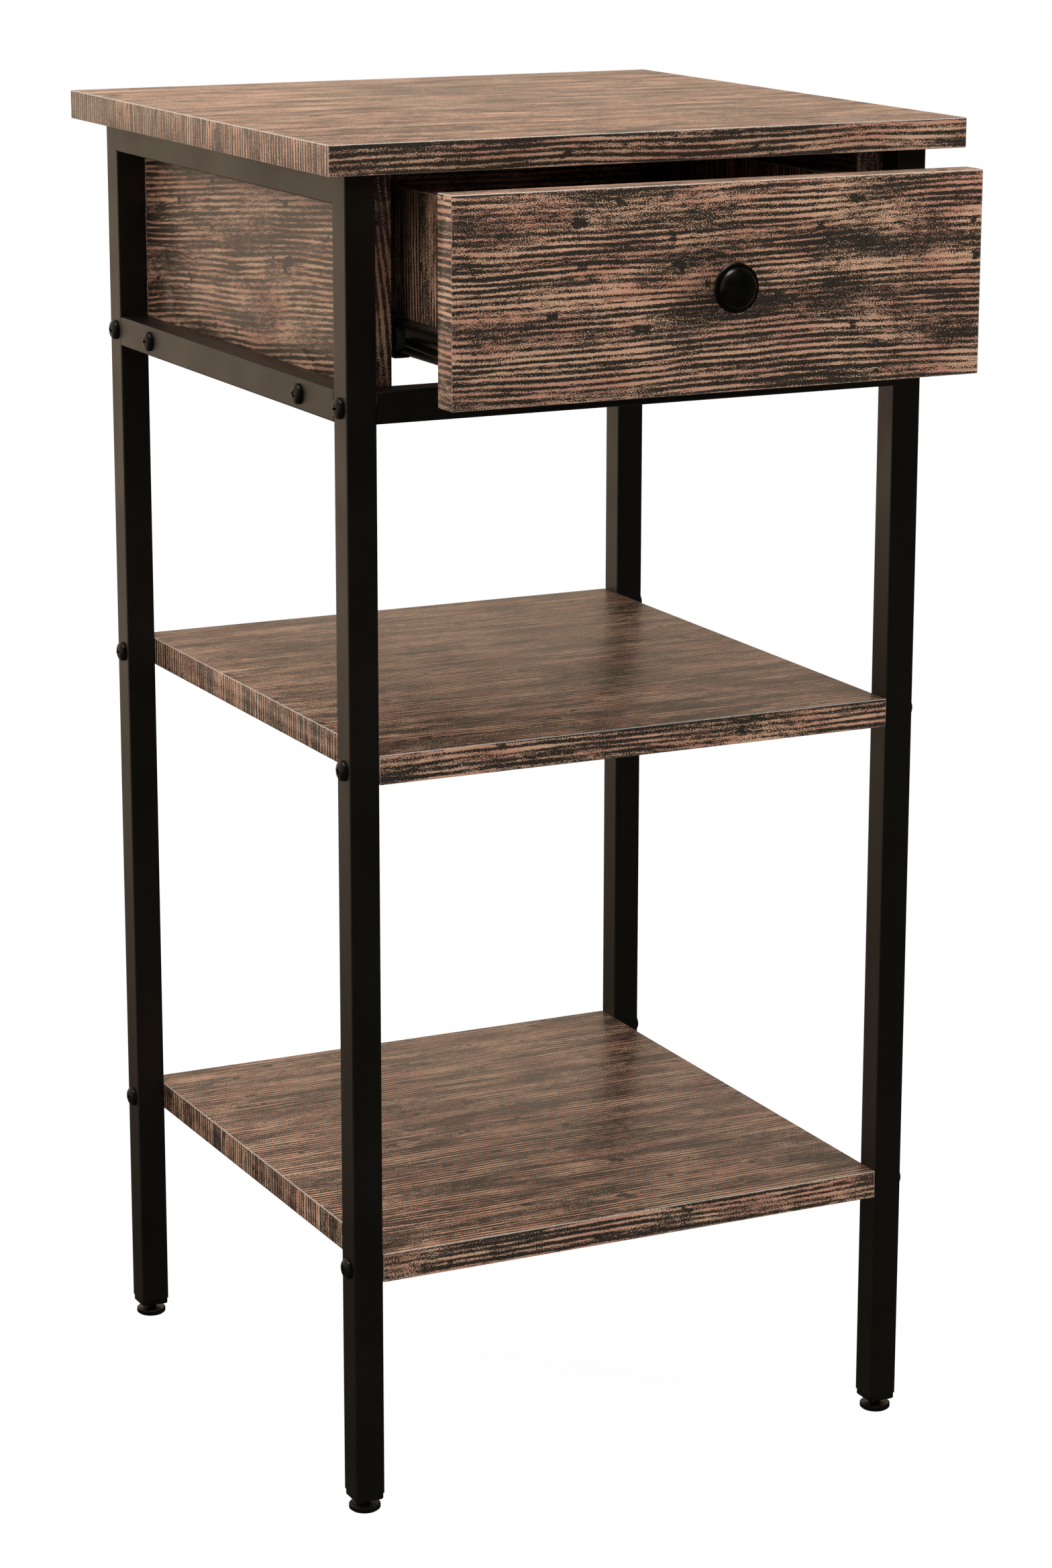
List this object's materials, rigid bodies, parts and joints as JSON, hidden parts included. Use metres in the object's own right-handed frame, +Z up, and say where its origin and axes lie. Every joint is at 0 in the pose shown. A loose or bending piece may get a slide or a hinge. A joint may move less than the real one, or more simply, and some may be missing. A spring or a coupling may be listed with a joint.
{
  "type": "side table with drawer",
  "caption": "Narrow square side table: black square-tube steel frame, brown woodgrain top and open shelves, and a drawer with a round knob on roller slides under the top.",
  "frame": {"origin": "on the floor, in the middle of the space that the table and its open drawer take", "axes": "+X to the right seen from the front, +Y to the back, +Z up; the drawer opens along -Y"},
  "size_m": [0.35, 0.435, 0.7],
  "materials": {
    "black_powder_coat": "satin powder coat, near black",
    "brown_woodgrain_board": "matt woodgrain laminate, dark grey-brown streaks over warm tan",
    "drawer_bottom_board": "matt dark hardboard",
    "black_screws": "black oxide, slightly glossy",
    "black_plastic": "moulded black plastic",
    "roller_plastic": "moulded dark plastic",
    "black_knob": "smooth satin black paint"
  },
  "bodies": {
    "table_frame": {"left_front_leg": "black_powder_coat", "left_rear_leg": "black_powder_coat", "right_front_leg": "black_powder_coat", "right_rear_leg": "black_powder_coat", "left_lower_rail": "black_powder_coat", "right_lower_rail": "black_powder_coat", "left_top_rail": "black_powder_coat", "right_top_rail": "black_powder_coat", "front_crossbar": "black_powder_coat", "rear_crossbar": "black_powder_coat", "tabletop": "brown_woodgrain_board", "middle_shelf": "brown_woodgrain_board", "lower_shelf": "brown_woodgrain_board", "left_side_panel": "brown_woodgrain_board", "right_side_panel": "brown_woodgrain_board", "back_panel": "brown_woodgrain_board", "left_front_crossbar_screw": "black_screws", "left_front_middle_shelf_screw": "black_screws", "left_front_lower_shelf_screw": "black_screws", "left_front_panel_screw": "black_screws", "left_front_top_screw": "black_screws", "left_rear_crossbar_screw": "black_screws", "left_rear_middle_shelf_screw": "black_screws", "left_rear_lower_shelf_screw": "black_screws", "left_rear_panel_screw": "black_screws", "left_rear_top_screw": "black_screws", "right_front_crossbar_screw": "black_screws", "right_front_middle_shelf_screw": "black_screws", "right_front_lower_shelf_screw": "black_screws", "right_front_panel_screw": "black_screws", "right_front_top_screw": "black_screws", "right_rear_crossbar_screw": "black_screws", "right_rear_middle_shelf_screw": "black_screws", "right_rear_lower_shelf_screw": "black_screws", "right_rear_panel_screw": "black_screws", "right_rear_top_screw": "black_screws", "left_cabinet_slide": "black_powder_coat", "right_cabinet_slide": "black_powder_coat", "left_front_leg_plug": "black_plastic", "left_rear_leg_plug": "black_plastic", "right_front_leg_plug": "black_plastic", "right_rear_leg_plug": "black_plastic"},
    "drawer": {"drawer_front": "brown_woodgrain_board", "drawer_left_side": "brown_woodgrain_board", "drawer_right_side": "brown_woodgrain_board", "drawer_back": "brown_woodgrain_board", "drawer_bottom": "drawer_bottom_board", "knob": "black_knob", "knob_screw": "black_screws", "left_drawer_slide": "black_powder_coat", "right_drawer_slide": "black_powder_coat"},
    "left_front_roller_wheel": {"left_front_roller": "roller_plastic"},
    "left_rear_roller_wheel": {"left_rear_roller": "roller_plastic"},
    "right_front_roller_wheel": {"right_front_roller": "roller_plastic"},
    "right_rear_roller_wheel": {"right_rear_roller": "roller_plastic"},
    "left_front_levelling_foot": {"left_front_foot": "black_plastic"},
    "left_rear_levelling_foot": {"left_rear_foot": "black_plastic"},
    "right_front_levelling_foot": {"right_front_foot": "black_plastic"},
    "right_rear_levelling_foot": {"right_rear_foot": "black_plastic"}
  },
  "joints": [
    {"name": "drawer_slide", "type": "slide", "parent": "table_frame", "child": "drawer", "axis": [0, -1, 0], "range_m": [-0.08075, 0.10575]},
    {"name": "left_front_roller_spin", "type": "hinge", "parent": "table_frame", "child": "left_front_roller_wheel", "pos_m": [-0.1235, -0.093, 0.60206], "axis": [1, 0, 0], "range_deg": [-620, 812]},
    {"name": "left_rear_roller_spin", "type": "hinge", "parent": "drawer", "child": "left_rear_roller_wheel", "pos_m": [-0.1235, 0.05675, 0.60206], "axis": [1, 0, 0], "range_deg": [-620, 812]},
    {"name": "right_front_roller_spin", "type": "hinge", "parent": "table_frame", "child": "right_front_roller_wheel", "pos_m": [0.1235, -0.093, 0.60206], "axis": [1, 0, 0], "range_deg": [-620, 812]},
    {"name": "right_rear_roller_spin", "type": "hinge", "parent": "drawer", "child": "right_rear_roller_wheel", "pos_m": [0.1235, 0.05675, 0.60206], "axis": [1, 0, 0], "range_deg": [-620, 812]},
    {"name": "left_front_foot_height", "type": "slide", "parent": "table_frame", "child": "left_front_levelling_foot", "axis": [0, 0, -1], "range_m": [-0.002, 0.008]},
    {"name": "left_rear_foot_height", "type": "slide", "parent": "table_frame", "child": "left_rear_levelling_foot", "axis": [0, 0, -1], "range_m": [-0.002, 0.008]},
    {"name": "right_front_foot_height", "type": "slide", "parent": "table_frame", "child": "right_front_levelling_foot", "axis": [0, 0, -1], "range_m": [-0.002, 0.008]},
    {"name": "right_rear_foot_height", "type": "slide", "parent": "table_frame", "child": "right_rear_levelling_foot", "axis": [0, 0, -1], "range_m": [-0.002, 0.008]}
  ],
  "couplings": [
    {"joint": "left_front_roller_spin", "follows": "drawer_slide", "rad_per_m": 133.33},
    {"joint": "left_rear_roller_spin", "follows": "drawer_slide", "rad_per_m": 133.33},
    {"joint": "right_front_roller_spin", "follows": "drawer_slide", "rad_per_m": 133.33},
    {"joint": "right_rear_roller_spin", "follows": "drawer_slide", "rad_per_m": 133.33}
  ]
}
